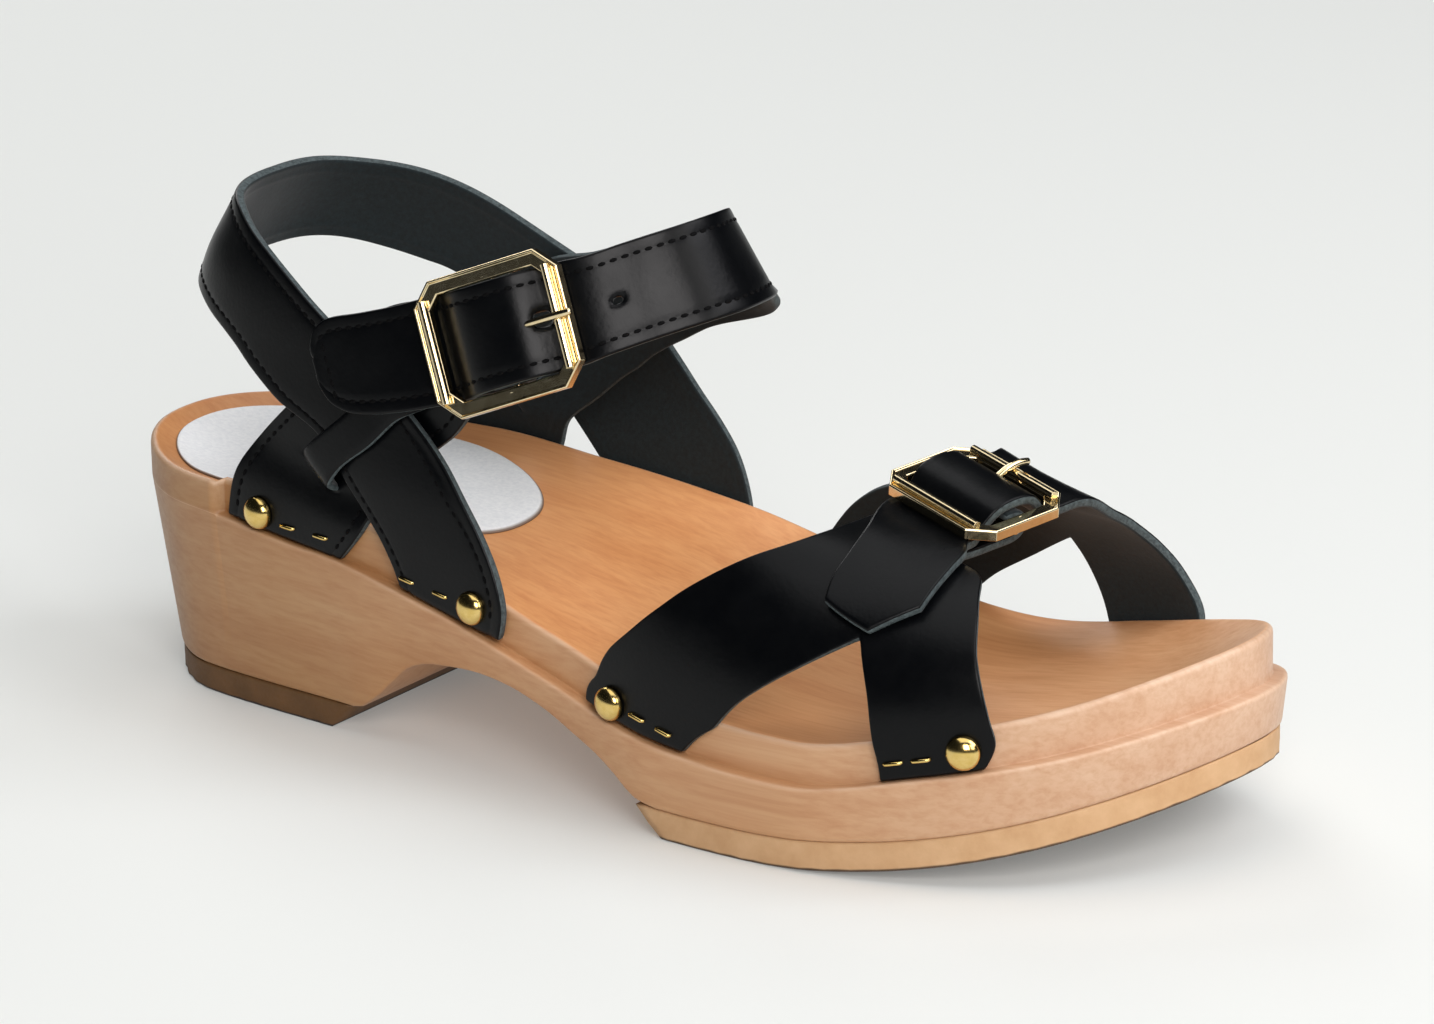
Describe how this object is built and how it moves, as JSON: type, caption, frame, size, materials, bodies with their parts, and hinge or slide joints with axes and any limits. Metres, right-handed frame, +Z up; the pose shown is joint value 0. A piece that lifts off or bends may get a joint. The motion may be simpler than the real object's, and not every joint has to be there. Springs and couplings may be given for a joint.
{
  "type": "clog sandal",
  "caption": "Right-foot clog sandal: carved wooden sole with block heel and platform, nailed leather straps crossing at the ankle and forefoot, and strap buckles.",
  "frame": {"origin": "middle of the bounding box on the floor under the sole", "axes": "+X from heel to toe, +Y to the inner (medial) side of the foot, +Z up"},
  "size_m": [0.25, 0.093, 0.1086],
  "materials": {
    "wood": "light close-grained wood, sanded and oiled",
    "rubber": "tan rubber, matt",
    "sock": "pale smooth sock, matt",
    "leather": "black smooth leather with a soft sheen",
    "brass": "pale gold plate, polished"
  },
  "bodies": {
    "root": {"sole": "wood", "outsole": "rubber", "heel_lift": "rubber", "heel_sock": "sock", "heel_strap": "leather", "quarter_lateral": "leather", "quarter_medial": "leather", "front_strap_lateral": "leather", "front_strap_medial": "leather", "ankle_buckle": "brass", "ankle_prong": "brass", "front_buckle": "brass", "front_prong": "brass", "nail_quarter_lateral_rear": "brass", "nail_quarter_lateral_front": "brass", "nail_quarter_medial_rear": "brass", "nail_quarter_medial_front": "brass", "nail_front_lateral_rear": "brass", "nail_front_lateral_front": "brass", "nail_front_medial_rear": "brass", "nail_front_medial_front": "brass"}
  },
  "joints": []
}
